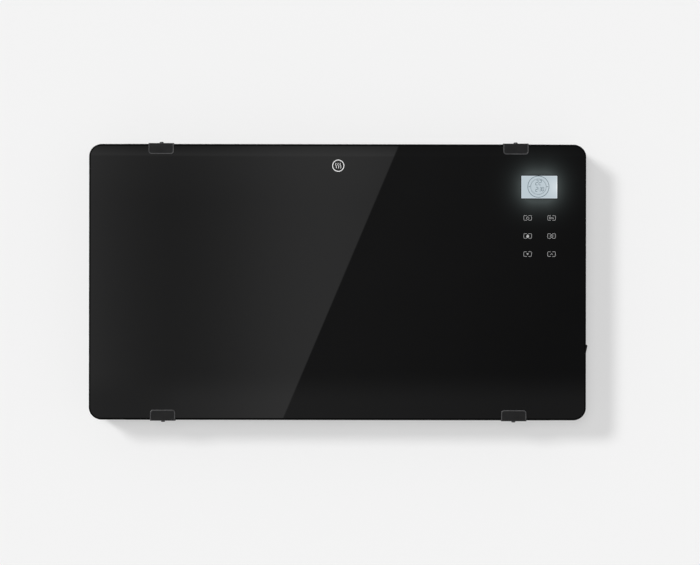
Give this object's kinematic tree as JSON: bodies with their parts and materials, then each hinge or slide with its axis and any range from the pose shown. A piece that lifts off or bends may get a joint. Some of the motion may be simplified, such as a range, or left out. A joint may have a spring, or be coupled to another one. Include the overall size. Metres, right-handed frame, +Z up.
{
  "type": "glass convector heater",
  "caption": "Wall-hung convector heater with a black glass front in clips, a touch display, a steel casing with air grilles and a side rocker switch.",
  "frame": {"origin": "middle of the four wall-screw holes of the wall bracket, on the wall plane; the glass is centred on it", "axes": "+X to the right as the heater is faced, +Z up, +Y into the wall; the glass front faces -Y"},
  "size_m": [0.8244, 0.086, 0.4628],
  "materials": {
    "black_glass": "polished black-printed tempered glass",
    "casing_paint": "fine-textured black powder coat on sheet steel",
    "clip_paint": "satin dark grey coat on bent sheet steel",
    "black_screw": "black-zinc steel screws",
    "zinc_steel": "galvanised sheet steel",
    "silicone": "matte silicone rubber",
    "aluminium": "plain rolled and extruded aluminium",
    "sheath": "heat-stained stainless tube",
    "ceramic": "steatite ceramic",
    "grille_plastic": "heat-proof black plastic",
    "switch_plastic": "glossy black plastic",
    "board_green": "solder-masked circuit board",
    "component": "moulded component cases",
    "white_plastic": "off-white plastic",
    "screen": "back-lit liquid crystal screen",
    "brass": "plain brass",
    "lead_cover": "silicone-covered leads"
  },
  "bodies": {
    "wall_bracket": {"wall_bracket": "casing_paint"},
    "heater": {"back_screws": "black_screw", "board_screws": "zinc_steel", "board_sockets": "white_plastic", "board_standoffs": "zinc_steel", "bulkhead_grommet": "silicone", "capacitors": "component", "casing_screws": "black_screw", "clip_pads": "silicone", "clip_screws": "black_screw", "control_bulkhead": "zinc_steel", "cord_gland": "grille_plastic", "cradle_screws": "zinc_steel", "cutout_shelf": "zinc_steel", "display_board": "board_green", "display_cradle": "component", "display_ribbon": "component", "earth_nut": "brass", "earth_stud": "brass", "element_bracket_left": "zinc_steel", "element_bracket_right": "zinc_steel", "element_bushes": "ceramic", "element_leads": "lead_cover", "element_link": "lead_cover", "front_plate": "zinc_steel", "gland_nut": "grille_plastic", "glass_clip_bottom_left": "clip_paint", "glass_clip_bottom_right": "clip_paint", "glass_clip_top_left": "clip_paint", "glass_clip_top_right": "clip_paint", "glass_cushions": "silicone", "glass_panel": "black_glass", "heat_reflector": "aluminium", "intake_grille": "grille_plastic", "lcd_module": "screen", "lower_element_fins": "aluminium", "lower_element_rod": "sheath", "outlet_grille": "grille_plastic", "overheat_cutout": "component", "power_board": "board_green", "rear_casing": "casing_paint", "relays": "component", "room_sensor": "component", "sensor_lead": "component", "sensor_stand": "white_plastic", "supply_leads": "lead_cover", "supply_transformer": "component", "switch_housing": "switch_plastic", "switch_terminals": "brass", "terminal_block": "white_plastic", "thermal_fuse": "ceramic", "touch_pads": "silicone", "upper_element_fins": "aluminium", "upper_element_rod": "sheath", "wireless_module": "component"},
    "rocker": {"switch_rocker": "switch_plastic"}
  },
  "joints": [
    {"name": "lift_off", "type": "slide", "parent": "wall_bracket", "child": "heater", "axis": [0, 0, 1], "range_m": [0, 0.012]},
    {"name": "rocker_tilt", "type": "hinge", "parent": "heater", "child": "rocker", "pos_m": [0.405, -0.049, -0.114], "axis": [0, 1, 0], "range_deg": [-20, 0]}
  ]
}
